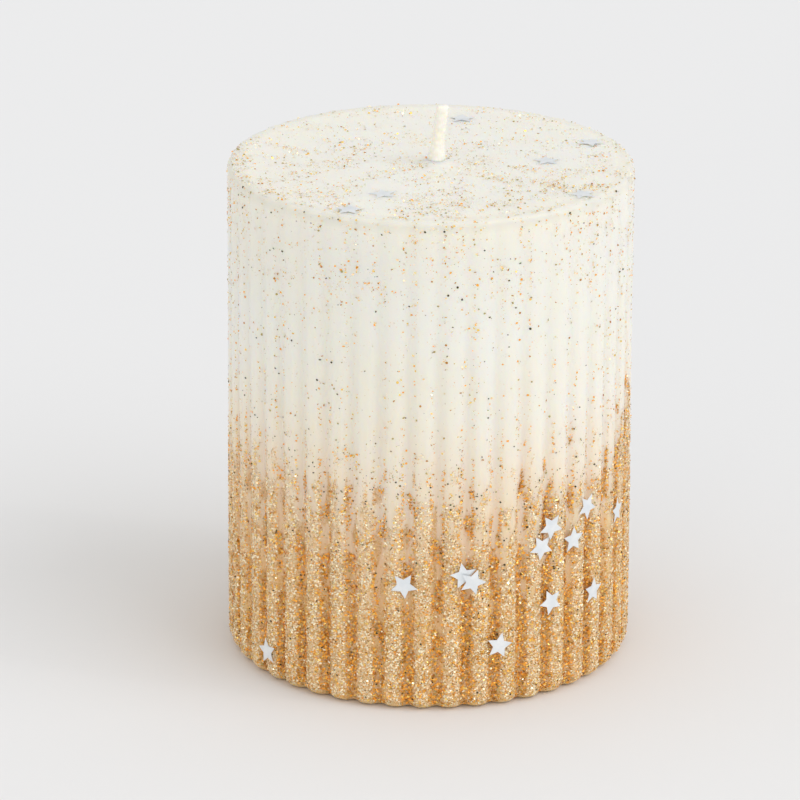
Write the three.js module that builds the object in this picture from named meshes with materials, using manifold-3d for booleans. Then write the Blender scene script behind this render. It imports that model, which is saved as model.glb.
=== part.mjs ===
// Ribbed pillar candle: an ivory wax body whose foot is dipped in gold wax, a waxed cotton wick
// held by a metal sustainer, and loose star confetti pressed on its side and top.
// Millimetres. The origin is the centre of the base, +Z is up and the front faces -Y.
// An azimuth is measured in degrees from the front, positive towards +X.
import * as THREE from 'three';
import { mergeVertices } from 'three/addons/utils/BufferGeometryUtils.js';
import Module from 'manifold-3d';

const GAP = 0.3; // clearance kept between pieces that touch on the real candle

// Wax body: the radii are taken over the rib crests, and the mould's draft narrows the top.
const HEIGHT = 99;
const BASE_RADIUS = 40;
const TOP_RADIUS = 39.4;
const BASE_ROUND = 3;
const TOP_ROUND = 1.2;
const ARC_STEPS = 2;

// Ribs: a valley is narrower than a crest, so its depth follows a cosine raised to a power.
const RIB_COUNT = 44;
const RIB_DEPTH = 1.1;
const VALLEY_SHARPNESS = 1.6;
const FIRST_VALLEY = 2.5;
const STEPS_PER_RIB = 5;

// Gold dip: the coat of coloured wax and glitter around the foot.
const COAT_THICKNESS = 0.5;
const COAT_TOP = 46;

// Wick: straight where the sustainer holds it, off centre where it leaves the wax, then leaning.
const WICK_RADIUS = 1.25;
const WICK_SIDES = 10;
const WICK_STEPS = 26;
const WICK_FOOT = 0.9;
const WICK_EXIT = { x: 1, y: -2 };
const WICK_TIP = { x: 2.3, y: -1.8 };
const WICK_FREE_LENGTH = 11.4;

// Sustainer: a tinplate disc with a neck crimped round the wick, sunk in the base.
const DISC_RADIUS = 7.5;
const DISC_THICKNESS = 0.4;
const DISC_SETBACK = 0.4;
const NECK_RADIUS = 2.2;
const NECK_TOP = 6.2;
const RECESS_RADIUS = DISC_RADIUS + 0.5;
const RECESS_DEPTH = DISC_SETBACK + DISC_THICKNESS + 0.4;
const ROUND_SEGMENTS = 32;

// Star confetti: foil stars with five points.
const STAR_POINTS = 5;
const STAR_TIP_RADIUS = 2.7;
const STAR_NOTCH_RADIUS = 1.3;
const STAR_THICKNESS = 0.2;
const STAR_LAYER = STAR_THICKNESS + GAP; // one star lying on another sits this much further out

// Each star on the side: azimuth, height of its centre, direction of one tip counted
// anticlockwise from the right as seen from outside, and the layer it lies in.
const SIDE_STARS = [
  { azimuth: -6.7, height: 26.3, tip: -85, layer: 0 },
  { azimuth: 9.7, height: 28.3, tip: 100, layer: 0 },
  { azimuth: 12.1, height: 27.1, tip: 69, layer: 1 },
  { azimuth: -51.6, height: 6.2, tip: 102, layer: 0 },
  { azimuth: 35.5, height: 35.9, tip: -93, layer: 1 },
  { azimuth: 32.8, height: 31.9, tip: -97, layer: 0 },
  { azimuth: 44.3, height: 31.6, tip: 88, layer: 0 },
  { azimuth: 49.9, height: 37.3, tip: -90, layer: 0 },
  { azimuth: 67, height: 32.5, tip: 90, layer: 0 },
  { azimuth: 36.2, height: 20.1, tip: -104, layer: 0 },
  { azimuth: 53.2, height: 19.1, tip: 85, layer: 0 },
  { azimuth: 20, height: 13.2, tip: 77, layer: 0 },
  { azimuth: 104, height: 27.5, tip: 40, layer: 0 },
  { azimuth: 119, height: 12.4, tip: 100, layer: 0 },
  { azimuth: 133, height: 35.2, tip: 75, layer: 0 },
  { azimuth: 152, height: 21.8, tip: 20, layer: 0 },
  { azimuth: 168, height: 9.6, tip: 62, layer: 0 },
  { azimuth: -158, height: 31, tip: 93, layer: 0 },
  { azimuth: -127, height: 16.5, tip: 50, layer: 0 },
  { azimuth: -101, height: 24.3, tip: 84, layer: 0 },
];

// Each star on the top: the place of its centre and the direction of one tip.
const TOP_STARS = [
  { x: -15.2, y: -32.2, tip: 84 },
  { x: -9, y: -22.4, tip: 100 },
  { x: 6.2, y: 28, tip: 15 },
  { x: 31.3, y: 11.9, tip: 60 },
  { x: 22.4, y: -0.4, tip: 95 },
  { x: 28.6, y: -21.8, tip: 35 },
];

const wasm = await Module();
wasm.setup();

function solidOf(geometry) {
  const bare = geometry.clone();
  bare.deleteAttribute('normal');
  bare.deleteAttribute('uv');
  const merged = mergeVertices(bare);
  return new wasm.Manifold(new wasm.Mesh({
    numProp: 3,
    vertProperties: new Float32Array(merged.attributes.position.array),
    triVerts: new Uint32Array(merged.index.array),
  }));
}

function geometryOf(solid) {
  const mesh = solid.getMesh();
  const geometry = new THREE.BufferGeometry();
  geometry.setAttribute('position', new THREE.BufferAttribute(mesh.vertProperties, mesh.numProp));
  geometry.setIndex(new THREE.BufferAttribute(mesh.triVerts, 1));
  geometry.computeVertexNormals();
  return geometry;
}

function cut(geometry, ...cutters) {
  const rest = cutters.reduce((solid, cutter) => solid.subtract(solidOf(cutter)), solidOf(geometry));
  return geometryOf(rest);
}

function finish(colour, roughness, metalness) {
  return new THREE.MeshStandardMaterial({ color: colour, roughness, metalness });
}

function named(name, geometry, material) {
  const mesh = new THREE.Mesh(geometry, material);
  mesh.name = name;
  return mesh;
}

// The radius over the crests at a height on the straight side.
function crestRadius(height) {
  return THREE.MathUtils.lerp(BASE_RADIUS, TOP_RADIUS, height / HEIGHT);
}

// Points on a quarter arc, from straight down to straight out, or on to straight up.
function quarterArc(centreX, centreY, radius, startAngle) {
  const points = [];
  for (let i = 0; i <= ARC_STEPS; i += 1) {
    const angle = startAngle + (i / ARC_STEPS) * (Math.PI / 2);
    points.push(new THREE.Vector2(centreX + radius * Math.cos(angle), centreY + radius * Math.sin(angle)));
  }
  return points;
}

function baseArc(inset) {
  return quarterArc(BASE_RADIUS - BASE_ROUND, BASE_ROUND, BASE_ROUND - inset, -Math.PI / 2);
}

// A profile turned about the Z axis; azimuth 0 of the turn is the front.
function turned(profile, segments, start = 0) {
  return new THREE.LatheGeometry(profile, segments, start).rotateX(Math.PI / 2);
}

// Pushes the vertices near the side of a turned shape in by the depth of the ribs' valleys.
function fluted(geometry) {
  const position = geometry.attributes.position;
  const valley = THREE.MathUtils.degToRad(FIRST_VALLEY);
  for (let i = 0; i < position.count; i += 1) {
    const x = position.getX(i);
    const y = position.getY(i);
    const radius = Math.hypot(x, y);
    if (radius > TOP_RADIUS / 2) {
      const wave = 0.5 + 0.5 * Math.cos((Math.atan2(x, -y) - valley) * RIB_COUNT);
      const scale = 1 - (RIB_DEPTH * wave ** VALLEY_SHARPNESS) / radius;
      position.setXY(i, x * scale, y * scale);
    }
  }
  return geometry;
}

function turnedRibs(profile) {
  return fluted(turned(profile, RIB_COUNT * STEPS_PER_RIB, THREE.MathUtils.degToRad(FIRST_VALLEY)));
}

function waxBody() {
  const inset = COAT_THICKNESS + GAP;
  const ledge = COAT_TOP + GAP;
  const foot = BASE_RADIUS - BASE_ROUND - GAP;
  const profile = [
    new THREE.Vector2(0, RECESS_DEPTH),
    new THREE.Vector2(RECESS_RADIUS, RECESS_DEPTH),
    new THREE.Vector2(RECESS_RADIUS, 0),
    new THREE.Vector2(foot, 0),
    new THREE.Vector2(foot, inset),
    ...baseArc(inset),
    new THREE.Vector2(crestRadius(ledge) - inset, ledge),
    new THREE.Vector2(crestRadius(ledge), ledge),
    ...quarterArc(TOP_RADIUS - TOP_ROUND, HEIGHT - TOP_ROUND, TOP_ROUND, 0),
    new THREE.Vector2(0, HEIGHT),
  ];
  const pocketHeight = NECK_TOP + GAP;
  const neckPocket = new THREE.CylinderGeometry(
    NECK_RADIUS + GAP, NECK_RADIUS + GAP, pocketHeight, ROUND_SEGMENTS,
  ).rotateX(Math.PI / 2).translate(0, 0, pocketHeight / 2);
  const wickChannel = alongWick(WICK_RADIUS + GAP);
  return named('wax_body', cut(turnedRibs(profile), neckPocket, wickChannel), finish(0xf0eee4, 0.45, 0));
}

function goldDipCoat() {
  const profile = [
    ...baseArc(0),
    new THREE.Vector2(crestRadius(COAT_TOP), COAT_TOP),
    new THREE.Vector2(crestRadius(COAT_TOP) - COAT_THICKNESS, COAT_TOP),
    ...baseArc(COAT_THICKNESS).reverse(),
    baseArc(0)[0],
  ];
  return named('gold_dip_coat', turnedRibs(profile), finish(0xd9a765, 0.5, 0.3));
}

function wickPath() {
  const top = HEIGHT + WICK_FREE_LENGTH;
  return new THREE.CatmullRomCurve3([
    new THREE.Vector3(0, 0, WICK_FOOT),
    new THREE.Vector3(0, 0, NECK_TOP * 2),
    new THREE.Vector3(WICK_EXIT.x / 2, WICK_EXIT.y / 2, HEIGHT / 2),
    new THREE.Vector3(WICK_EXIT.x, WICK_EXIT.y, HEIGHT),
    new THREE.Vector3(WICK_TIP.x, WICK_TIP.y, top),
  ]);
}

function alongWick(radius) {
  const section = new THREE.Shape();
  section.absarc(0, 0, radius, 0, Math.PI * 2);
  return new THREE.ExtrudeGeometry(section, {
    steps: WICK_STEPS,
    curveSegments: WICK_SIDES,
    extrudePath: wickPath(),
  });
}

function wick() {
  return named('wick', alongWick(WICK_RADIUS), finish(0xf1ead6, 0.6, 0));
}

function wickSustainer() {
  const bore = WICK_RADIUS + GAP;
  const top = DISC_SETBACK + DISC_THICKNESS;
  const profile = [
    new THREE.Vector2(bore, DISC_SETBACK),
    new THREE.Vector2(DISC_RADIUS, DISC_SETBACK),
    new THREE.Vector2(DISC_RADIUS, top),
    new THREE.Vector2(NECK_RADIUS, top),
    new THREE.Vector2(NECK_RADIUS, NECK_TOP),
    new THREE.Vector2(bore, NECK_TOP),
    new THREE.Vector2(bore, DISC_SETBACK),
  ];
  return named('wick_sustainer', turned(profile, ROUND_SEGMENTS), finish(0xb8b9bb, 0.35, 0.9));
}

// A star lying in its own XY plane with one tip in the given direction.
function starGeometry(tipDegrees) {
  const outline = new THREE.Shape();
  for (let i = 0; i < STAR_POINTS * 2; i += 1) {
    const radius = i % 2 === 0 ? STAR_TIP_RADIUS : STAR_NOTCH_RADIUS;
    const angle = THREE.MathUtils.degToRad(tipDegrees) + (i * Math.PI) / STAR_POINTS;
    const point = [radius * Math.cos(angle), radius * Math.sin(angle)];
    if (i === 0) outline.moveTo(...point);
    else outline.lineTo(...point);
  }
  outline.closePath();
  return new THREE.ExtrudeGeometry(outline, { depth: STAR_THICKNESS, bevelEnabled: false });
}

function star(name, tip) {
  return named(name, starGeometry(tip), finish(0xdfe4e8, 0.3, 0.6));
}

// Places a star flat against the crests, with its face looking straight out.
function sideStar({ azimuth, height, tip, layer }, index) {
  const angle = THREE.MathUtils.degToRad(azimuth);
  const outward = new THREE.Vector3(Math.sin(angle), -Math.cos(angle), 0);
  const across = new THREE.Vector3(Math.cos(angle), Math.sin(angle), 0);
  const up = new THREE.Vector3(0, 0, 1);
  const mesh = star(`star_side_${String(index + 1).padStart(2, '0')}`, tip);
  mesh.quaternion.setFromRotationMatrix(new THREE.Matrix4().makeBasis(across, up, outward));
  const reach = crestRadius(height - STAR_TIP_RADIUS) + GAP + layer * STAR_LAYER;
  mesh.position.copy(outward).multiplyScalar(reach).setZ(height);
  return mesh;
}

function topStar({ x, y, tip }, index) {
  const mesh = star(`star_top_${String(index + 1).padStart(2, '0')}`, tip);
  mesh.position.set(x, y, HEIGHT + GAP);
  return mesh;
}

const candle = new THREE.Group();
candle.add(waxBody(), goldDipCoat(), wick(), wickSustainer());
const confetti = new THREE.Group();
confetti.add(...SIDE_STARS.map(sideStar), ...TOP_STARS.map(topStar));
candle.add(confetti);

export default candle;
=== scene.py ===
"""Unity candle: a ribbed pillar in ivory wax with a gold-dipped, glittered foot, star confetti
and one short waxed wick. Blender's visual model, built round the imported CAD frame.
Lengths are metres; MM turns millimetres into metres. Azimuth 0 is the front, -Y, and grows
towards +X."""

import math

import bpy
import numpy as np
from mathutils import Matrix, Vector, noise


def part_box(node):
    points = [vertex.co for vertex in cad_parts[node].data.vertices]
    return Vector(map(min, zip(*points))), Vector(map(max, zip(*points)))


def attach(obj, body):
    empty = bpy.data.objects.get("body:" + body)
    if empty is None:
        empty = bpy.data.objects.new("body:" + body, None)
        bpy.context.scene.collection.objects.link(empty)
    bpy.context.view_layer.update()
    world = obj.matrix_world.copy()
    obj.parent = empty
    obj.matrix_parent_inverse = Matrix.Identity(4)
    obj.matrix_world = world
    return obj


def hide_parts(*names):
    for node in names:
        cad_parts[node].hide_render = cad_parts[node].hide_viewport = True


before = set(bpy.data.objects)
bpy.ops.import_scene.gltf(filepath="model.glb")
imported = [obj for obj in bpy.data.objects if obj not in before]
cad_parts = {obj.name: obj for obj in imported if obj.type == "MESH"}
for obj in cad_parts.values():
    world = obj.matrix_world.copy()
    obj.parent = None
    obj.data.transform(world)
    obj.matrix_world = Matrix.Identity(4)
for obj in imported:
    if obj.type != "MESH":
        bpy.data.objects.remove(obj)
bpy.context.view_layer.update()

MM = 0.001
BODY = "root"

# ---------------------------------------------------------------- dimensions

BODY_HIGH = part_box("wax_body")[1]
COAT_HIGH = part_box("gold_dip_coat")[1]
WICK_LOW, WICK_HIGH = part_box("wick")
DISC_LOW, DISC_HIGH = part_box("wick_sustainer")

HEIGHT = BODY_HIGH.z
BASE_RADIUS = COAT_HIGH.x
TAPER = 0.985  # the top's radius as a share of the foot's
TOP_RADIUS = BASE_RADIUS * TAPER
BASE_ROUND = 3 * MM
TOP_ROUND = 1.2 * MM

RIB_COUNT = 44
RIB_DEPTH = 1.1 * MM
VALLEY_SHARPNESS = 1.6  # above 1 the valleys are narrower than the crests
FIRST_VALLEY = math.radians(2.5)
RIM_FADE_START = 24 * MM  # the ribs are full depth up to here
RIM_RIB_SHARE = 0.18  # and this share of it at the rim

WICK_RADIUS = 1.25 * MM
WICK_EXIT = Vector((1.0, -2.0, 0.0)) * MM
WICK_TIP = Vector((2.3, -1.8, 0.0)) * MM

DISC_RADIUS = DISC_HIGH.x
RECESS_RADIUS = DISC_RADIUS + 0.5 * MM
RECESS_DEPTH = 1.2 * MM
COLLAR_HEIGHT = 1.5 * MM  # wax drawn up round the wick on the top
COLLAR_INNER = 0.9 * MM
COLLAR_SPREAD = 1.3 * MM

# ---------------------------------------------------------------- camera and light

CAMERA_DISTANCE = 0.867
CAMERA_ELEVATION = math.radians(20.17)
CAMERA_LENS = 197.7
CAMERA_SENSOR = 36.0
CAMERA_YAW = math.radians(0.408)
CAMERA_ROLL = math.radians(0.19)

WORLD_STRENGTH = 0.70
# name, azimuth, elevation, energy, angular width, colour. Angles are in degrees. The two sparks
# are narrow and faint: they only make the flakes sparkle.
LIGHTS = (
    ("key", 62, 39, 0.91, 52, (0.98, 0.995, 1.04)),
    ("front_fill", -10, 15, 0.37, 90, (1.0, 0.98, 0.94)),
    ("left_fill", -75, 12, 0.19, 80, (1.0, 0.95, 0.86)),
    ("overhead", 0, 85, 0.28, 90, (1.0, 1.0, 1.0)),
    ("spark_low", -18, 9, 0.06, 6, (1.0, 1.0, 1.0)),
    ("spark_high", 74, 26, 0.13, 6, (1.0, 1.0, 1.0)),
)

FLOOR_SIZE = 6.0
FLOOR_COLOUR = (0.80, 0.80, 0.80)


def make_camera():
    data = bpy.data.cameras.new("camera")
    data.lens = CAMERA_LENS
    data.sensor_width = CAMERA_SENSOR
    data.clip_start = 0.01
    data.clip_end = 50.0
    camera = bpy.data.objects.new("camera", data)
    bpy.context.scene.collection.objects.link(camera)
    middle = Vector((0.0, 0.0, HEIGHT / 2))
    back = Vector((0.0, -math.cos(CAMERA_ELEVATION), math.sin(CAMERA_ELEVATION)))
    aim = (-back).to_track_quat("-Z", "Y").to_matrix().to_4x4()
    turn = Matrix.Rotation(CAMERA_YAW, 4, "Z") @ aim
    roll = Matrix.Rotation(CAMERA_ROLL, 4, "Z")
    camera.matrix_world = Matrix.Translation(middle + back * CAMERA_DISTANCE) @ turn @ roll
    bpy.context.scene.camera = camera


def make_sun(name, azimuth, elevation, energy, spread, colour):
    data = bpy.data.lights.new(name, "SUN")
    data.energy = energy
    data.color = colour
    data.angle = math.radians(spread)
    lamp = bpy.data.objects.new(name, data)
    bpy.context.scene.collection.objects.link(lamp)
    a, e = math.radians(azimuth), math.radians(elevation)
    towards = Vector((math.sin(a) * math.cos(e), -math.cos(a) * math.cos(e), math.sin(e)))
    lamp.rotation_euler = towards.to_track_quat("Z", "Y").to_euler()


def make_world():
    world = bpy.data.worlds.new("studio")
    bpy.context.scene.world = world
    world.use_nodes = True
    background = world.node_tree.nodes["Background"]
    background.inputs["Color"].default_value = (1, 1, 1, 1)
    background.inputs["Strength"].default_value = WORLD_STRENGTH


def make_light():
    make_world()
    for light in LIGHTS:
        make_sun(*light)
    bpy.context.scene.view_settings.view_transform = "Standard"
    bpy.context.scene.view_settings.look = "None"


# ---------------------------------------------------------------- node helpers


NOISE_ROUGHNESS = 0.55


class Shader:
    """A material with a Principled shader and short calls for adding nodes to it."""

    def __init__(self, name, **sockets):
        self.material = bpy.data.materials.new(name)
        self.material.use_nodes = True
        self.tree = self.material.node_tree
        self.tree.nodes.clear()
        self.out = self.tree.nodes.new("ShaderNodeOutputMaterial")
        self.surface = self.tree.nodes.new("ShaderNodeBsdfPrincipled")
        self.tree.links.new(self.surface.outputs[0], self.out.inputs["Surface"])
        for key, value in sockets.items():
            self.surface.inputs[key.replace("_", " ")].default_value = value

    def node(self, kind, settings=None, **inputs):
        made = self.tree.nodes.new(kind)
        for key, value in (settings or {}).items():
            setattr(made, key, value)
        for key, value in inputs.items():
            self.give(made.inputs[key.replace("_", " ")], value)
        return made

    def give(self, socket, value):
        if isinstance(value, bpy.types.NodeSocket):
            self.tree.links.new(value, socket)
        else:
            socket.default_value = value

    def maths(self, operation, first, second=0.0, third=0.0, clamp=False):
        made = self.tree.nodes.new("ShaderNodeMath")
        made.operation = operation
        made.use_clamp = clamp
        for socket, value in zip(made.inputs, (first, second, third)):
            self.give(socket, value)
        return made.outputs[0]

    def between(self, value, low, high):
        """0 below low, 1 above high, with a smooth step between them."""
        made = self.node("ShaderNodeMapRange", {"interpolation_type": "SMOOTHSTEP"})
        self.give(made.inputs["Value"], value)
        made.inputs["From Min"].default_value = low
        made.inputs["From Max"].default_value = high
        return made.outputs["Result"]

    def mix(self, factor, first, second):
        """A colour between two colours. The node's colour sockets come after its others."""
        made = self.tree.nodes.new("ShaderNodeMix")
        made.data_type = "RGBA"
        self.give(made.inputs[0], factor)
        self.give(made.inputs[6], first)
        self.give(made.inputs[7], second)
        return made.outputs[2]

    def place(self):
        return self.tree.nodes.new("ShaderNodeTexCoord").outputs["Object"]

    def attribute(self, name):
        return self.node("ShaderNodeAttribute", {"attribute_name": name}).outputs["Fac"]

    def steps(self, value, colours):
        """One colour out of a list, each from its own position on."""
        ramp = self.node("ShaderNodeValToRGB", Fac=value)
        ramp.color_ramp.interpolation = "CONSTANT"
        elements = ramp.color_ramp.elements
        while len(elements) < len(colours):
            elements.new(0.5)
        for element, (position, colour) in zip(elements, colours):
            element.position = position
            element.color = (*colour, 1)
        return ramp.outputs["Color"]

    def stretched(self, vector, scale):
        made = self.tree.nodes.new("ShaderNodeMapping")
        self.give(made.inputs["Vector"], vector)
        made.inputs["Scale"].default_value = scale
        return made.outputs[0]

    def noise(self, vector, scale, detail):
        made = self.tree.nodes.new("ShaderNodeTexNoise")
        self.give(made.inputs["Vector"], vector)
        made.inputs["Scale"].default_value = scale
        made.inputs["Detail"].default_value = detail
        made.inputs["Roughness"].default_value = NOISE_ROUGHNESS
        return made.outputs["Fac"]

    def cells(self, vector, scale):
        made = self.tree.nodes.new("ShaderNodeTexVoronoi")
        self.give(made.inputs["Vector"], vector)
        made.inputs["Scale"].default_value = scale
        return made

    def bump(self, height, distance, strength, normal=None):
        made = self.tree.nodes.new("ShaderNodeBump")
        made.inputs["Strength"].default_value = strength
        made.inputs["Distance"].default_value = distance
        self.give(made.inputs["Height"], height)
        if normal is not None:
            self.give(made.inputs["Normal"], normal)
        return made.outputs[0]


# ---------------------------------------------------------------- materials
# Texture scales count features in a metre.

IVORY = (0.845, 0.835, 0.77, 1)
IVORY_WARM = (0.845, 0.825, 0.735, 1)
# painted shade: a darker ivory over the rounded rim dims the bright band that light leaves there
RIM_PAINTED_SHADE = (0.73, 0.715, 0.645, 1)
BEIGE = (0.86, 0.61, 0.35, 1)
BEIGE_DEEP = (0.83, 0.52, 0.22, 1)
DUST_SHADE = (0.68, 0.36, 0.08, 1)
# position along the ramp, colour: neighbouring grains of dust differ
DUST_COLOURS = (
    (0.00, (0.55, 0.29, 0.07)),
    (0.16, (0.90, 0.66, 0.42)),
    (0.34, (0.78, 0.47, 0.20)),
    (0.50, (0.96, 0.84, 0.62)),
    (0.64, (0.66, 0.38, 0.10)),
    (0.78, (0.86, 0.60, 0.36)),
    (0.92, (0.30, 0.17, 0.04)),
)
DUST_COVER = 0.55
VALLEY_SHADE_COVER = 0.4


def wax_material():
    """Ivory wax that turns into the gold dip towards the foot, with glitter dust in the dip.
    The mesh carries how deep the dip is, how thickly dust lies on the crests and in the valleys,
    and where the rim turns over, which gets a painted shade."""
    s = Shader(
        "ivory_wax",
        Roughness=0.42,
        Subsurface_Weight=0.85,
        Subsurface_Radius=(1.0, 0.82, 0.55),
        Subsurface_Scale=4.8 * MM,
        Specular_IOR_Level=0.35,
    )
    place = s.place()
    dip, crest_dust, valley_dust = (s.attribute(name) for name in ("dip", "crest_dust", "valley_dust"))
    cloud = s.noise(place, scale=55.0, detail=4.0)
    warm = s.between(s.noise(place, scale=32.0, detail=3.0), 0.35, 0.7)
    ivory = s.mix(warm, IVORY, IVORY_WARM)
    mottle = s.maths("MULTIPLY", s.maths("SUBTRACT", cloud, 0.5), s.between(dip, 0.0, 0.3))
    dipped = s.maths("MULTIPLY_ADD", mottle, 0.3, dip, clamp=True)
    beige = s.mix(s.between(dipped, 0.6, 1.0), BEIGE, BEIGE_DEEP)
    colour = s.mix(dipped, ivory, beige)
    grains = s.cells(place, scale=3600.0)
    chances = s.node("ShaderNodeSeparateColor", Color=grains.outputs["Color"])
    grain_tone, grain_luck, grain_height = chances.outputs
    dust = s.steps(grain_tone, DUST_COLOURS)
    amount = s.maths("MAXIMUM", crest_dust, valley_dust)
    there = s.between(s.maths("SUBTRACT", amount, grain_luck), -0.02, 0.02)
    colour = s.mix(s.maths("MULTIPLY", there, DUST_COVER), colour, dust)
    colour = s.mix(s.maths("MULTIPLY", valley_dust, VALLEY_SHADE_COVER), colour, DUST_SHADE)
    # painted shade on the rounded rim, darkening the bright band of light there
    colour = s.mix(s.attribute("rim"), colour, RIM_PAINTED_SHADE)
    s.give(s.surface.inputs["Base Color"], colour)
    fine = s.noise(place, scale=900.0, detail=2.0)
    skin = s.bump(fine, 0.02 * MM, strength=0.6)
    dusty = s.bump(s.maths("MULTIPLY", grain_height, there), 0.05 * MM, strength=0.8, normal=skin)
    s.give(s.surface.inputs["Normal"], dusty)
    return s.material


def flake_material(name, colour, roughness, metallic):
    return Shader(name, Base_Color=(*colour, 1), Metallic=metallic, Roughness=roughness).material


# colour, roughness and how metallic; one flake is far too small to show a pattern of its own
FLAKES = {
    "orange": ((0.96, 0.43, 0.055), 0.28, 0.5),
    "gold": ((1.0, 0.66, 0.16), 0.24, 0.5),
    "champagne": ((1.0, 0.90, 0.64), 0.14, 0.4),
    "peach": ((1.0, 0.71, 0.40), 0.26, 0.3),
    "sand": ((0.82, 0.69, 0.46), 0.35, 0.3),
    "bronze": ((0.52, 0.23, 0.03), 0.30, 0.6),
    "olive": ((0.44, 0.36, 0.14), 0.30, 0.6),
    # near-black flakes: painted reflections of unlit surroundings and, near the foot, painted shade
    "painted_dark": ((0.06, 0.045, 0.015), 0.40, 0.6),
}


FOIL_DULL = (0.80, 0.84, 0.87, 1)
FOIL_BRIGHT = (0.90, 0.92, 0.93, 1)
WICK_CREAM = (0.86, 0.835, 0.74, 1)
WICK_PALE = (0.91, 0.90, 0.84, 1)
TIN = (0.66, 0.67, 0.68, 1)
TIN_STAIN = (0.50, 0.49, 0.47, 1)


def foil_material():
    s = Shader("star_foil", Metallic=0.55)
    place = s.place()
    tone = s.between(s.noise(place, scale=420.0, detail=3.0), 0.3, 0.7)
    s.give(s.surface.inputs["Base Color"], s.mix(tone, FOIL_DULL, FOIL_BRIGHT))
    s.give(s.surface.inputs["Roughness"], s.maths("MULTIPLY_ADD", tone, 0.12, 0.28))
    fine = s.noise(place, scale=1500.0, detail=2.0)
    s.give(s.surface.inputs["Normal"], s.bump(fine, 0.01 * MM, strength=0.5))
    return s.material


def wick_material():
    s = Shader(
        "waxed_wick",
        Roughness=0.5,
        Subsurface_Weight=0.7,
        Subsurface_Radius=(1.0, 0.8, 0.5),
        Subsurface_Scale=1.6 * MM,
    )
    place = s.place()
    fibre = s.noise(s.stretched(place, (1.0, 1.0, 0.25)), scale=3200.0, detail=4.0)
    tone = s.between(fibre, 0.3, 0.75)
    s.give(s.surface.inputs["Base Color"], s.mix(tone, WICK_CREAM, WICK_PALE))
    s.give(s.surface.inputs["Normal"], s.bump(fibre, 0.06 * MM, strength=0.7))
    return s.material


def tin_material():
    s = Shader("tinplate", Metallic=1.0)
    place = s.place()
    grain = s.noise(s.stretched(place, (1.0, 0.06, 1.0)), scale=2600.0, detail=3.0)
    stain = s.between(s.noise(place, scale=180.0, detail=3.0), 0.35, 0.75)
    s.give(s.surface.inputs["Base Color"], s.mix(stain, TIN, TIN_STAIN))
    s.give(s.surface.inputs["Roughness"], s.maths("MULTIPLY_ADD", grain, 0.25, 0.22))
    s.give(s.surface.inputs["Normal"], s.bump(grain, 0.015 * MM, strength=0.6))
    return s.material


def floor_material():
    s = Shader("pale_floor", Roughness=0.9, Specular_IOR_Level=0.0)
    place = s.place()
    tone = s.noise(place, scale=3.0, detail=2.0)
    lighter = tuple(c * 1.004 for c in FLOOR_COLOUR)
    s.give(s.surface.inputs["Base Color"], s.mix(tone, (*FLOOR_COLOUR, 1), (*lighter, 1)))
    return s.material


# ---------------------------------------------------------------- the candle's surface


def wave(azimuth):
    """1 in the middle of a valley, 0 on a crest."""
    return (0.5 + 0.5 * np.cos((azimuth - FIRST_VALLEY) * RIB_COUNT)) ** VALLEY_SHARPNESS


def crest_radius(height):
    """The radius over the crests, with the rounded foot and rim."""
    straight = BASE_RADIUS + (TOP_RADIUS - BASE_RADIUS) * height / HEIGHT
    foot = np.clip(BASE_ROUND - height, 0, BASE_ROUND)
    rim = np.clip(height - (HEIGHT - TOP_ROUND), 0, TOP_ROUND)
    straight = straight - (BASE_ROUND - np.sqrt(BASE_ROUND**2 - foot**2))
    return straight - (TOP_ROUND - np.sqrt(TOP_ROUND**2 - rim**2))


def rib_share(height):
    """How much of its full depth a rib has at a height: the ribs soften towards the rim."""
    share = np.clip((height - RIM_FADE_START) / (HEIGHT - RIM_FADE_START), 0, 1)
    return 1 - (1 - RIM_RIB_SHARE) * share * share * (3 - 2 * share)


def side_points(azimuth, height):
    radius = crest_radius(height) - RIB_DEPTH * rib_share(height) * wave(azimuth)
    return np.stack([radius * np.sin(azimuth), -radius * np.cos(azimuth), height], axis=-1)


def side_frames(azimuth, height):
    """Points on the ribbed side with unit outward normals."""
    turn, rise = 1e-4, 0.05 * MM
    point = side_points(azimuth, height)
    along = side_points(azimuth + turn, height) - side_points(azimuth - turn, height)
    low, high = np.clip(height - rise, 0, HEIGHT), np.clip(height + rise, 0, HEIGHT)
    up = side_points(azimuth, high) - side_points(azimuth, low)
    normal = np.cross(along, up)
    normal /= np.linalg.norm(normal, axis=-1, keepdims=True)
    return point, normal


def lumps(places, scale, seed):
    """Smooth noise between -1 and 1 at each place."""
    shift = Vector((seed * 7.3, seed * 3.1, seed * 5.7))
    return np.array([noise.noise(Vector(p) * scale + shift) for p in places])


def top_height(x, y):
    """Height of the top face over HEIGHT: a wax collar where the wick comes out."""
    reach = np.hypot(x - WICK_EXIT.x, y - WICK_EXIT.y)
    return COLLAR_HEIGHT * np.exp(-((np.maximum(reach - COLLAR_INNER, 0) / COLLAR_SPREAD) ** 1.5))


# ---------------------------------------------------------------- mesh helpers


def new_object(name, vertices, faces, materials, smooth=True):
    mesh = bpy.data.meshes.new(name)
    mesh.from_pydata([tuple(v) for v in vertices], [], faces)
    mesh.validate()
    for material in materials:
        mesh.materials.append(material)
    if smooth:
        mesh.shade_smooth()
    made = bpy.data.objects.new(name, mesh)
    bpy.context.scene.collection.objects.link(made)
    return made


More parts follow.
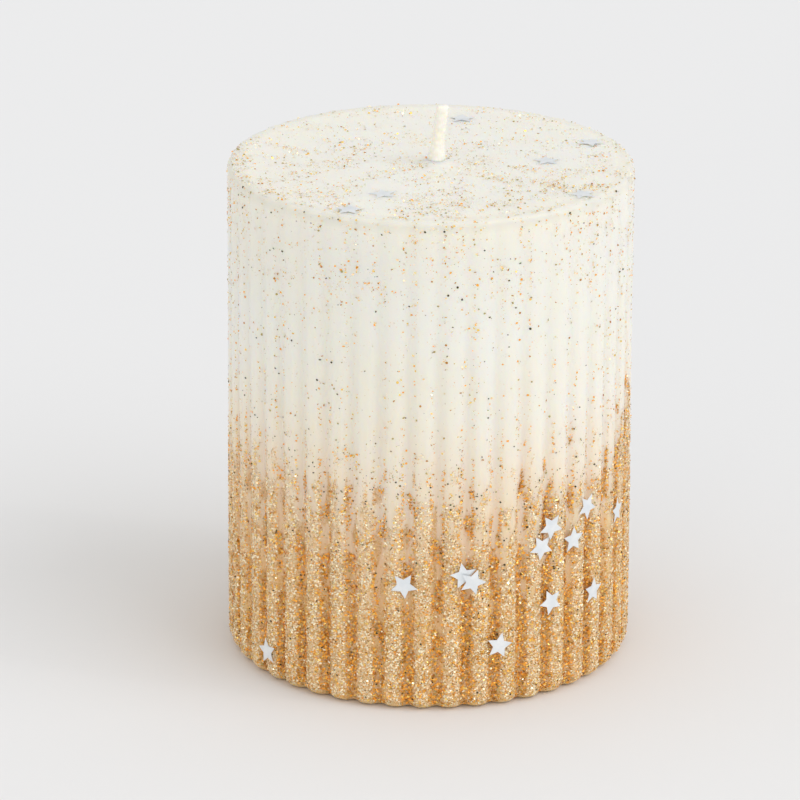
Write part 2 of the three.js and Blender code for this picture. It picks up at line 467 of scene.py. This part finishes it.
def polygons_object(name, corners, materials, indices):
    """An object of many separate flat polygons. corners is (count, sides, 3)."""
    count, sides, _ = corners.shape
    mesh = bpy.data.meshes.new(name)
    mesh.vertices.add(count * sides)
    mesh.loops.add(count * sides)
    mesh.polygons.add(count)
    mesh.vertices.foreach_set("co", corners.astype(np.float32).ravel())
    mesh.loops.foreach_set("vertex_index", np.arange(count * sides, dtype=np.int32))
    mesh.polygons.foreach_set("loop_start", np.arange(0, count * sides, sides, dtype=np.int32))
    mesh.polygons.foreach_set("material_index", indices.astype(np.int32))
    for material in materials:
        mesh.materials.append(material)
    mesh.update(calc_edges=True)
    made = bpy.data.objects.new(name, mesh)
    bpy.context.scene.collection.objects.link(made)
    return made


def ring_faces(rows, columns, first=0):
    """Quads between closed rings of vertices, row after row."""
    faces = []
    for row in range(rows - 1):
        for column in range(columns):
            after = (column + 1) % columns
            a, b = first + row * columns, first + (row + 1) * columns
            faces.append((a + column, a + after, b + after, b + column))
    return faces


# ---------------------------------------------------------------- wax body

STEPS_PER_RIB = 16
SIDE_ROWS = 66
FOOT_ROWS = 8
RIM_ROWS = 7
TOP_RINGS = 26
TOP_RING_GROWTH = 1.55
RIM_FADE_WIDTH = 6 * MM
UNDERSIDE_RINGS = (0.35, 0.5, 0.65, 0.8, 0.9, 0.96)  # shares of the flat base's radius
# size, height in mm of the uneven places in the wax
BROAD_LUMPS = (7, 0.05)
FINE_LUMPS = (2.2, 0.018)
TOP_LUMPS = (16, 0.14)
TOP_LUMPS_FADE = 4 * MM  # they fade out this far inside the rim


def body_profile():
    """(radius over the crests, height, share of the rib depth) from the recess in the base, out
    and up to the middle of the top."""
    rows = [(0.05 * MM, RECESS_DEPTH, 0.0), (RECESS_RADIUS, RECESS_DEPTH, 0.0)]
    rows += [(RECESS_RADIUS + 0.15 * MM, 0.1 * MM, 0.0), (RECESS_RADIUS + 0.4 * MM, 0.0, 0.0)]
    inner = BASE_RADIUS - BASE_ROUND
    rows += [(inner * share, 0.0, share > 0.9) for share in UNDERSIDE_RINGS]
    for i in range(FOOT_ROWS + 1):
        angle = i / FOOT_ROWS * math.pi / 2
        rows.append((inner + BASE_ROUND * math.sin(angle), BASE_ROUND * (1 - math.cos(angle)), 1.0))
    straight = HEIGHT - BASE_ROUND - TOP_ROUND
    for i in range(1, SIDE_ROWS):
        height = BASE_ROUND + straight * i / SIDE_ROWS
        rows.append((float(crest_radius(height)), height, float(rib_share(height))))
    centre = TOP_RADIUS - TOP_ROUND
    for i in range(RIM_ROWS + 1):
        angle = i / RIM_ROWS * math.pi / 2
        height = HEIGHT - TOP_ROUND * (1 - math.sin(angle))
        rows.append((centre + TOP_ROUND * math.cos(angle), height, float(rib_share(height))))
    for i in range(1, TOP_RINGS):
        share = (1 - i / TOP_RINGS) ** TOP_RING_GROWTH
        radius = centre * share
        fade = max(0.0, 1 - (centre - radius) / RIM_FADE_WIDTH)
        rows.append((radius, HEIGHT, RIM_RIB_SHARE * fade))
    return np.array(rows, float)


def rim_shade_mask(points):
    """Where the rim's painted shade goes: 1 on the rounded rim, 0 on the side and on the top face."""
    reach = np.hypot(points[:, 0], points[:, 1])
    inward = TOP_RADIUS - TOP_ROUND * 0.5 - reach
    down = HEIGHT - TOP_ROUND * 0.5 - points[:, 2]
    return np.exp(-((np.maximum(inward, down) / TOP_ROUND) ** 2))


def uneven(points, sizes, seed):
    size, height = sizes
    return lumps(points, 1 / (size * MM), seed) * height * MM


def make_wax_body(material):
    rows = body_profile()
    columns = RIB_COUNT * STEPS_PER_RIB
    azimuth = FIRST_VALLEY + np.arange(columns) / columns * 2 * math.pi
    radius = rows[:, :1] - RIB_DEPTH * rows[:, 2:] * wave(azimuth)[None, :]
    x, y = radius * np.sin(azimuth), -radius * np.cos(azimuth)
    z = np.repeat(rows[:, 1:2], columns, axis=1)
    points = np.stack([x, y, z], axis=-1).reshape(-1, 3)
    soft = uneven(points, BROAD_LUMPS, 1) + uneven(points, FINE_LUMPS, 2)
    outward = points * (1, 1, 0)
    outward /= np.maximum(np.linalg.norm(outward, axis=1, keepdims=True), 1e-9)
    on_top = points[:, 2] > HEIGHT - 0.01 * MM
    on_side = (points[:, 2] > 1 * MM) & ~on_top
    points[on_side] += outward[on_side] * soft[on_side, None]
    reach = np.hypot(points[on_top, 0], points[on_top, 1])
    fade = np.clip((TOP_RADIUS - TOP_ROUND - reach) / TOP_LUMPS_FADE, 0, 1)
    dished = uneven(points[on_top], TOP_LUMPS, 3) * fade
    collar = top_height(points[on_top, 0], points[on_top, 1])
    points[on_top, 2] += dished + soft[on_top] * fade + collar
    faces = ring_faces(len(rows), columns)
    faces.append(tuple(range(columns))[::-1])
    faces.append(tuple((len(rows) - 1) * columns + i for i in range(columns)))
    body = new_object("ribbed_wax_body", points, faces, [material])
    around, up = np.tile(azimuth, len(rows)), points[:, 2]
    for name, values in (
        ("dip", dip_depth(around, up)),
        ("crest_dust", crest_cover(around, up)),
        ("valley_dust", valley_density(around, up)),
        # where the rounded rim gets its painted shade
        ("rim", rim_shade_mask(points)),
    ):
        attribute = body.data.attributes.new(name, "FLOAT", "POINT")
        attribute.data.foreach_set("value", values.astype(np.float32))
    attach(body, BODY)
    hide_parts("wax_body")


# ---------------------------------------------------------------- glitter


def tilted(normal, spread, rng):
    """The normals, each leaning by a random angle."""
    lean = normal + rng.normal(0, spread, normal.shape)
    return lean / np.linalg.norm(lean, axis=1, keepdims=True)


def flake_corners(place, normal, size, sides, rng):
    """Corners of flat flakes, each turned and narrowed at random: (count, sides, 3)."""
    helper = np.where(np.abs(normal[:, 2:3]) < 0.9, [[0.0, 0.0, 1.0]], [[1.0, 0.0, 0.0]])
    first = np.cross(normal, helper)
    first /= np.linalg.norm(first, axis=1, keepdims=True)
    second = np.cross(normal, first)
    turn = rng.uniform(0, 2 * math.pi, len(place))
    narrow = rng.uniform(0.7, 1.0, len(place))
    corners = []
    for i in range(sides):
        angle = turn + i * 2 * math.pi / sides
        wide = (size * np.cos(angle))[:, None] * first
        deep = (size * narrow * np.sin(angle))[:, None] * second
        corners.append(place + wide + deep)
    return np.stack(corners, axis=1)


FLAKE_SIDES = 6
FLAKE_LIFT = (0.01, 0.09)  # least and most, in mm
FLAKES_PER_PIECE = 45000
VALLEY_EDGE = 0.2  # how far a valley's edge lies from its middle, in ribs
EDGE_WIDTH = 0.042
THICK_SIDE = math.radians(70)
SPLASH_SIDE = math.radians(77)  # one tongue of the dip reaches higher than the rest
SPLASH_WIDTH = math.radians(8)
SPLASH_RISE = 12 * MM
SIDE_RISE = 3 * MM


def patchy(azimuth, height, across, along, seed):
    """Smooth noise from 0 to 1 over the side, drawn out along the ribs."""
    x = BASE_RADIUS * azimuth / across
    y = height / along
    shift = seed * 11.7
    places = (Vector((a + shift, b - shift, seed)) for a, b in zip(x, y))
    return np.array([0.5 + 0.5 * noise.noise(place) for place in places])


def step(value, low, high):
    """0 below low, 1 above high, with a smooth step between them."""
    share = np.clip((value - low) / (high - low), 0, 1)
    return share * share * (3 - 2 * share)


def by_height(height, *pairs):
    """A value that runs straight between (millimetres up, value) pairs."""
    heights, values = zip(*pairs)
    return np.interp(height / MM, heights, values)


def clumps(cover, azimuth, height, across, along, seed):
    """1 in clumps that cover the given share of the surface, 0 between them."""
    threshold = 0.80 - 0.6 * cover
    return step(patchy(azimuth, height, across, along, seed), threshold - 0.06, threshold + 0.06)


def off_valley(azimuth):
    """Distance from the middle of the nearest valley, in ribs: 0 there, 0.5 on a crest."""
    phase = ((azimuth - FIRST_VALLEY) * RIB_COUNT / (2 * math.pi)) % 1.0
    return np.minimum(phase, 1 - phase)


def on_crest(azimuth):
    """1 on a crest, 0 in a valley."""
    return step(off_valley(azimuth), 0.16, 0.23)


def on_edge(azimuth):
    """1 on the edges of a valley, falling off to both sides."""
    return np.exp(-(((off_valley(azimuth) - VALLEY_EDGE) / EDGE_WIDTH) ** 2))


def thickness(azimuth):
    """0 to 1 round the candle: the glitter lies thicker on one side."""
    return 0.5 + 0.5 * np.cos(azimuth - THICK_SIDE)


def edge_wander(azimuth, height):
    """How far the dip's upper edge is raised or lowered at a place."""
    slow = (patchy(azimuth, height * 0, 17 * MM, 1.0, 3) - 0.5) * 5 * MM
    tongue = (patchy(azimuth, height, 3.4 * MM, 30 * MM, 4) - 0.5) * 13 * MM
    splash = SPLASH_RISE * np.exp(-(((azimuth - SPLASH_SIDE) / SPLASH_WIDTH) ** 2))
    sides = np.minimum(1 - np.cos(azimuth), 0.5) * SIDE_RISE
    return slow + tongue + splash + sides


def dip_depth(azimuth, height):
    """0 in bare ivory wax, 1 in full dip."""
    level = height - edge_wander(azimuth, height) * 0.55
    return by_height(
        level, (0, 1), (16, 1), (30, 0.82), (40, 0.62), (50, 0.27), (60, 0.07), (74, 0)
    )


def crest_cover(azimuth, height):
    """Chance of any fine glitter, which lies in clumps on the crests of the dip."""
    level = height - edge_wander(azimuth, height)
    cover = by_height(
        level, (0, 1), (20, 0.9), (30, 0.76), (38, 0.6), (45, 0.28), (52, 0.08), (58, 0)
    )
    lying = clumps(cover, azimuth, height, 1.5 * MM, 4 * MM, 5) * step(cover, 0, 0.5)
    return (0.06 + 0.94 * on_crest(azimuth)) * lying * step(height, 0.9 * MM, 1.6 * MM)


def warm_share(azimuth, height):
    """Share of the crest glitter that is orange rather than pale."""
    cover = 0.28 + 0.10 * thickness(azimuth) + 0.35 * on_edge(azimuth)
    return 0.08 + 0.82 * clumps(cover, azimuth, height, 0.8 * MM, 1.5 * MM, 12)


def crest_density(azimuth, height):
    """Chance of a pale flake on a crest."""
    return crest_cover(azimuth, height) * (1 - warm_share(azimuth, height))


def warm_density(azimuth, height):
    """Chance of an orange flake on a crest."""
    return crest_cover(azimuth, height) * warm_share(azimuth, height)


def valley_density(azimuth, height):
    """Chance of coarse orange glitter, which fills the valleys towards the foot."""
    level = height - edge_wander(azimuth, height)
    fill = by_height(
        level, (0, 1), (7, 0.95), (13, 0.8), (20, 0.58), (28, 0.46), (38, 0.38), (46, 0.2), (56, 0)
    )
    fill += 0.3 * (thickness(azimuth) - 0.45) * (1 - step(level, 34 * MM, 48 * MM))
    lying = clumps(fill, azimuth, height, 2.0 * MM, 5 * MM, 6) * step(fill, 0, 0.2)
    return (1 - on_crest(azimuth)) * lying * step(height, 0.7 * MM, 1.4 * MM)


def edge_density(azimuth, height):
    """Chance of glitter in the lines along the edges of the valleys."""
    level = height - 0.7 * edge_wander(azimuth, height)
    foot, middle = ((0, 0.65), (26, 0.75), (36, 1), (48, 1)), ((54, 0.55), (64, 0.18))
    line = by_height(level, *foot, *middle, (74, 0.08), (99, 0.14))
    patches = 0.12 + 0.88 * clumps(0.5, azimuth, height, 1.4 * MM, 6 * MM, 8)
    return on_edge(azimuth) * line * patches * step(height, 0.8 * MM, 1.5 * MM)


def painted_dark_density(azimuth, height):
    """Chance of a near-black flake, a painted reflection of unlit surroundings, which stands out on
    the crests and above the dip, in clusters; near the foot these flakes also paint shade.
    """
    cluster = step(patchy(azimuth, height, 3.0 * MM, 4.0 * MM, 9), 0.36, 0.70)
    # the high values at the foot paint shade there
    foot, middle = ((0, 1), (10, 0.9), (20, 0.8), (28, 1), (46, 1)), ((52, 0.3), (62, 0.08))
    reach = by_height(height, *foot, *middle, (84, 0.08), (99, 0.16))
    return (0.35 + 0.65 * on_crest(azimuth)) * (0.15 + 0.85 * cluster) * reach


def loose_density(azimuth, height):
    """Chance of a stray flake on the ivory wax."""
    cluster = step(patchy(azimuth, height, 5 * MM, 9 * MM, 7), 0.36, 0.72)
    reach = by_height(height, (40, 0.6), (50, 0.5), (62, 0.3), (76, 0.4), (86, 0.9), (99, 1))
    return (0.3 + 0.7 * on_edge(azimuth)) * (0.2 + 0.8 * cluster) * reach


def top_density(x, y):
    """Chance of a flake on the top face: clusters, thicker on the front half."""
    places = zip(x / (7 * MM), y / (5 * MM))
    cloud = np.array([0.5 + 0.5 * noise.noise(Vector((a, b, 4.0))) for a, b in places])
    front = 0.35 + 0.65 * step(-y, -26 * MM, 14 * MM)
    return (0.15 + 0.85 * step(cloud, 0.36, 0.66)) * front


FLAKE_NAMES = list(FLAKES)
# share of each flake colour
CREST_MIX = {"champagne": 0.54, "peach": 0.34, "gold": 0.08, "sand": 0.04}
WARM_MIX = {"orange": 0.42, "gold": 0.26, "bronze": 0.16, "peach": 0.12, "olive": 0.04}
VALLEY_MIX = {
    "orange": 0.49,
    "gold": 0.13,
    "bronze": 0.28,
    "champagne": 0.04,
    "olive": 0.04,
    "painted_dark": 0.02,
}
EDGE_MIX = {"orange": 0.50, "gold": 0.15, "peach": 0.11, "bronze": 0.19, "champagne": 0.05}
PAINTED_DARK_MIX = {"painted_dark": 0.8, "olive": 0.2}
LOOSE_MIX = {
    "orange": 0.23,
    "gold": 0.18,
    "peach": 0.17,
    "sand": 0.14,
    "olive": 0.13,
    "bronze": 0.1,
    "painted_dark": 0.05,
}
TOP_MIX = {
    "sand": 0.22,
    "champagne": 0.17,
    "olive": 0.16,
    "peach": 0.14,
    "gold": 0.14,
    "orange": 0.09,
    "bronze": 0.08,
}

# name, tries, lowest and highest in mm, chance of keeping a try, flake radius in mm from small to
# large and how rare the large ones are, lean, colours
SIDE_GLITTER = (
    ("crest_glitter", 150000, 0.8, 58, crest_density, (0.12, 0.25, 1.5), 0.32, CREST_MIX),
    ("warm_glitter", 120000, 0.8, 58, warm_density, (0.13, 0.28, 1.5), 0.36, WARM_MIX),
    ("valley_glitter", 115000, 0.6, 62, valley_density, (0.16, 0.34, 1.2), 0.42, VALLEY_MIX),
    ("edge_glitter", 220000, 0.6, 98.8, edge_density, (0.09, 0.25, 1.5), 0.42, EDGE_MIX),
    # near-black flakes: painted reflections of unlit surroundings, and painted shade near the foot
    ("painted_dark_glitter", 22000, 1.2, 98.5, painted_dark_density, (0.08, 0.26, 2.0), 0.30, PAINTED_DARK_MIX),
    ("loose_glitter", 78000, 40, 98.9, loose_density, (0.05, 0.30, 3.0), 0.42, LOOSE_MIX),
)
TOP_TRIES = 16000
TOP_SIZES = (0.06, 0.30, 2.2)
TOP_LEAN = 0.45
IN_THE_DIP = (crest_density, warm_density, valley_density, edge_density)


def pick(count, chances, rng):
    """An index into FLAKE_NAMES for each flake."""
    weights = np.array([chances.get(name, 0.0) for name in FLAKE_NAMES])
    return rng.choice(len(FLAKE_NAMES), count, p=weights / weights.sum())


def add_flakes(name, place, normal, sizes, lean, chances, materials, rng):
    """Flakes at the given places, in as many pieces as keep each mesh light."""
    count = len(place)
    small, large, rarity = sizes
    size = (small + (large - small) * rng.uniform(0, 1, count) ** rarity) * MM
    lift = rng.uniform(*FLAKE_LIFT, count)[:, None] * MM
    leaning = tilted(normal, lean, rng)
    corners = flake_corners(place + normal * lift, leaning, size, FLAKE_SIDES, rng)
    colours = pick(count, chances, rng)
    parts = max(1, math.ceil(count / FLAKES_PER_PIECE))
    made = []
    for part in range(parts):
        chosen = slice(part, None, parts)
        suffix = f"_{part + 1}" if parts > 1 else ""
        piece = polygons_object(name + suffix, corners[chosen], materials, colours[chosen])
        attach(piece, BODY)
        made.append(piece)
    return made


GLITTER_SEED = 11


def make_glitter(materials):
    rng = np.random.default_rng(GLITTER_SEED)
    for name, tries, low, high, density, sizes, lean, chances in SIDE_GLITTER:
        azimuth = rng.uniform(-math.pi, math.pi, tries)
        height = rng.uniform(low * MM, high * MM, tries)
        keep = rng.uniform(0, 1, tries) < density(azimuth, height)
        place, normal = side_frames(azimuth[keep], height[keep])
        made = add_flakes(name, place, normal, sizes, lean, chances, materials, rng)
        if density in IN_THE_DIP:
            for piece in made:
                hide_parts("gold_dip_coat")
    make_top_glitter(materials, rng)


def make_top_glitter(materials, rng):
    reach = (TOP_RADIUS - TOP_ROUND * 0.6) * np.sqrt(rng.uniform(0, 1, TOP_TRIES))
    azimuth = rng.uniform(-math.pi, math.pi, TOP_TRIES)
    x, y = reach * np.sin(azimuth), -reach * np.cos(azimuth)
    keep = rng.uniform(0, 1, TOP_TRIES) < top_density(x, y)
    x, y = x[keep], y[keep]
    place = np.stack([x, y, HEIGHT + top_height(x, y)], axis=-1)
    normal = np.tile([[0.0, 0.0, 1.0]], (len(x), 1))
    add_flakes("top_glitter", place, normal, TOP_SIZES, TOP_LEAN, TOP_MIX, materials, rng)


# ---------------------------------------------------------------- star confetti

STAR_POINTS = 5
STAR_FOIL = 0.07 * MM
STAR_RINGS = 5
STAR_EDGE_STEPS = 5
STAR_CURL = 6.0
STAR_TILT = 0.03
STAR_SEED = 5
# how far the thin foil lies below the middle of the thicker CAD star
SIDE_SETTLE = 0.25 * MM
TOP_SETTLE = 0.22 * MM


def star_outline(tip_radius, notch_radius):
    """Corners of a star with its first tip along +X, each edge divided."""
    corners = []
    for i in range(2 * STAR_POINTS):
        reach = tip_radius if i % 2 == 0 else notch_radius
        angle = i * math.pi / STAR_POINTS
        corners.append(Vector((reach * math.cos(angle), reach * math.sin(angle))))
    points = []
    for here, after in zip(corners, corners[1:] + corners[:1]):
        points += [here.lerp(after, k / STAR_EDGE_STEPS) for k in range(STAR_EDGE_STEPS)]
    return points


def star_sheet(outline, bend):
    """A thin closed foil star whose middle follows bend(x, y)."""
    columns = len(outline)
    vertices, faces = [], []
    for face in (1, -1):
        for ring in range(1, STAR_RINGS + 1):
            share = ring / STAR_RINGS
            for point in outline:
                x, y = point.x * share, point.y * share
                vertices.append((x, y, bend(x, y) + face * STAR_FOIL / 2))
        vertices.append((0, 0, bend(0, 0) + face * STAR_FOIL / 2))
    layer = STAR_RINGS * columns + 1
    for side in (0, 1):
        first = side * layer
        hub = first + layer - 1
        fan = [(hub, first + i, first + (i + 1) % columns) for i in range(columns)]
        quads = [(b, a, d, c) for a, b, c, d in ring_faces(STAR_RINGS, columns, first)]
        faces += [tuple(reversed(f)) if side == 1 else f for f in fan + quads]
    top, low = (STAR_RINGS - 1) * columns, layer + (STAR_RINGS - 1) * columns
    for i in range(columns):
        j = (i + 1) % columns
        faces.append((top + i, low + i, low + j, top + j))
    return vertices, faces


def star_axes(node):
    """Centre, direction of one tip, outward normal, tip radius and notch radius of a CAD star,
    read from its mesh."""
    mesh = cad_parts[node].data
    points = np.array([v.co for v in mesh.vertices], float)
    points = np.unique(points.round(6), axis=0)
    centre = points.mean(0)
    normal = np.linalg.svd(points - centre)[2][2]
    outward = centre * (1, 1, 0) if centre[2] < HEIGHT else np.array([0, 0, 1.0])
    if normal @ outward < 0:
        normal = -normal
    flat = points - centre - np.outer((points - centre) @ normal, normal)
    reach = np.linalg.norm(flat, axis=1)
    tip = Vector(flat[int(np.argmax(reach))]).normalized()
    return Vector(centre), tip, Vector(normal).normalized(), reach.max(), reach.min()


def make_star(node, material, rng):
    centre, tip, normal, tip_radius, notch_radius = star_axes(node)
    across = normal.cross(tip).normalized()
    turn = Matrix((tip, across, normal)).transposed().to_4x4()
    curl = rng.uniform(0.2, 1.0) * STAR_CURL
    tilt = rng.uniform(-STAR_TILT, STAR_TILT, 2)

    def bend(x, y):
        return -(x * x + y * y) * curl + x * tilt[0] + y * tilt[1]

    vertices, faces = star_sheet(star_outline(tip_radius, notch_radius), bend)
    made = new_object("foil_" + node, vertices, faces, [material])
    settle = TOP_SETTLE if centre.z > HEIGHT else SIDE_SETTLE
    made.data.transform(Matrix.Translation(centre - normal * settle) @ turn)
    made.data.set_sharp_from_angle(angle=math.radians(40))
    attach(made, BODY)
    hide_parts(node)


# ---------------------------------------------------------------- wick and sustainer

WICK_COLUMNS = 40
HIDDEN_ROWS = 30
WICK_ROWS = 150
BRAID_PITCH = 3.2 * MM
BRAID_DEPTH = 0.07 * MM
BRAID_LOBES = 1.5
FINE_ROWS_BELOW = 4 * MM  # the fine rows start this far under the top of the wax
WICK_FOOT = 0.6 * MM  # wax thickens the wick where it comes out
WICK_FOOT_SPREAD = 3.2 * MM
WICK_END_ROUND = 0.5 * MM


def wick_centre(height):
    """The wick's middle line: straight in the body, then leaning over the top."""
    inside = np.clip(height / HEIGHT, 0, 1)
    ease = inside * inside * (3 - 2 * inside)
    free = np.clip((height - HEIGHT) / (WICK_HIGH.z - HEIGHT), 0, 1)
    lean = free * (0.75 + 0.25 * free)
    x = WICK_EXIT.x * ease + (WICK_TIP.x - WICK_EXIT.x) * lean
    y = WICK_EXIT.y * ease + (WICK_TIP.y - WICK_EXIT.y) * lean
    return x, y


def make_wick(material):
    low, high = WICK_LOW.z, WICK_HIGH.z - 0.1 * MM
    shown = HEIGHT - FINE_ROWS_BELOW
    hidden_heights = np.linspace(low, shown, HIDDEN_ROWS)[:-1]
    heights = np.concatenate([hidden_heights, np.linspace(shown, high, WICK_ROWS)])
    angle = np.arange(WICK_COLUMNS) / WICK_COLUMNS * 2 * math.pi
    points = []
    for height in heights:
        x, y = wick_centre(height)
        along = height / BRAID_PITCH * 2 * math.pi
        one_way = np.abs(np.sin(BRAID_LOBES * angle + along))
        strands = one_way * np.abs(np.sin(BRAID_LOBES * angle - along))
        spread = math.exp(-(((height - HEIGHT) / WICK_FOOT_SPREAD) ** 2))
        foot = WICK_FOOT * spread if height > shown else 0
        end = max(0.0, min(1.0, (high - height) / WICK_END_ROUND))
        radius = WICK_RADIUS - BRAID_DEPTH + strands * BRAID_DEPTH * 1.6 + foot
        radius = radius * (0.82 + 0.18 * math.sqrt(end))
        points += [(x + r * math.sin(a), y - r * math.cos(a), height) for r, a in zip(radius, angle)]
    rows = len(heights)
    faces = ring_faces(rows, WICK_COLUMNS)
    faces.append(tuple(range(WICK_COLUMNS))[::-1])
    faces.append(tuple((rows - 1) * WICK_COLUMNS + i for i in range(WICK_COLUMNS)))
    made = new_object("braided_wick", points, faces, [material])
    made.data.set_sharp_from_angle(angle=math.radians(50))
    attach(made, BODY)
    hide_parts("wick")


DISC_COLUMNS = 96
NECK_RADIUS = 2.2 * MM
CRIMPS = 6
CRIMP_DEPTH = 0.22 * MM


def make_sustainer(material):
    low, high = DISC_LOW.z, DISC_HIGH.z
    sheet = 0.3 * MM
    bore = WICK_RADIUS + 0.15 * MM
    bead = 0.18 * MM
    raised, upper = low + 0.05 * MM, low + sheet + 0.05 * MM
    profile = [
        (bore, low),
        (NECK_RADIUS + 0.4 * MM, low),
        (NECK_RADIUS + 0.9 * MM, raised),
        (DISC_RADIUS * 0.55, raised),
        (DISC_RADIUS * 0.60, low - bead),
        (DISC_RADIUS * 0.65, raised),
        (DISC_RADIUS - 0.5 * MM, raised),
        (DISC_RADIUS - 0.12 * MM, low),
        (DISC_RADIUS, low + 0.1 * MM),
        (DISC_RADIUS, low + sheet),
        (DISC_RADIUS - 0.15 * MM, low + sheet + 0.06 * MM),
        (DISC_RADIUS * 0.65, upper),
        (DISC_RADIUS * 0.60, low + sheet - 0.1 * MM),
        (DISC_RADIUS * 0.55, upper),
        (NECK_RADIUS + 0.5 * MM, upper),
        (NECK_RADIUS + 0.1 * MM, low + sheet + 0.35 * MM),
        (NECK_RADIUS, low + sheet + 0.8 * MM),
        (NECK_RADIUS, high - 0.15 * MM),
        (NECK_RADIUS - 0.15 * MM, high),
        (bore + 0.1 * MM, high),
        (bore, high - 0.15 * MM),
    ]
    points = []
    for radius, height in profile:
        for i in range(DISC_COLUMNS):
            angle = i / DISC_COLUMNS * 2 * math.pi
            on_neck = max(0.0, min(1.0, (height - low - 1.5 * MM) / (1 * MM)))
            crimp = CRIMP_DEPTH * on_neck * max(0.0, math.cos(angle * CRIMPS)) ** 2
            r = radius - (crimp if radius > bore + 0.2 * MM else 0)
            points.append((r * math.sin(angle), -r * math.cos(angle), height))
    faces = ring_faces(len(profile), DISC_COLUMNS)
    last = (len(profile) - 1) * DISC_COLUMNS
    for i in range(DISC_COLUMNS):
        j = (i + 1) % DISC_COLUMNS
        faces.append((last + i, last + j, j, i))
    made = new_object("crimped_sustainer", points, faces, [material])
    made.data.set_sharp_from_angle(angle=math.radians(35))
    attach(made, BODY)
    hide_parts("wick_sustainer")


# ---------------------------------------------------------------- stage


def make_floor():
    half = FLOOR_SIZE / 2
    corners = [(-half, -half, 0), (half, -half, 0), (half, half, 0), (-half, half, 0)]
    floor = new_object("floor", corners, [(0, 1, 2, 3)], [floor_material()], smooth=False)


def make_all():
    make_camera()
    make_light()
    make_floor()
    make_wax_body(wax_material())
    flakes = [flake_material("flake_" + name, *FLAKES[name]) for name in FLAKE_NAMES]
    make_glitter(flakes)
    foil = foil_material()
    rng = np.random.default_rng(STAR_SEED)
    for node in sorted(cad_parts):
        if node.startswith("star_"):
            make_star(node, foil, rng)
    make_wick(wick_material())
    make_sustainer(tin_material())


make_all()

bpy.context.view_layer.update()
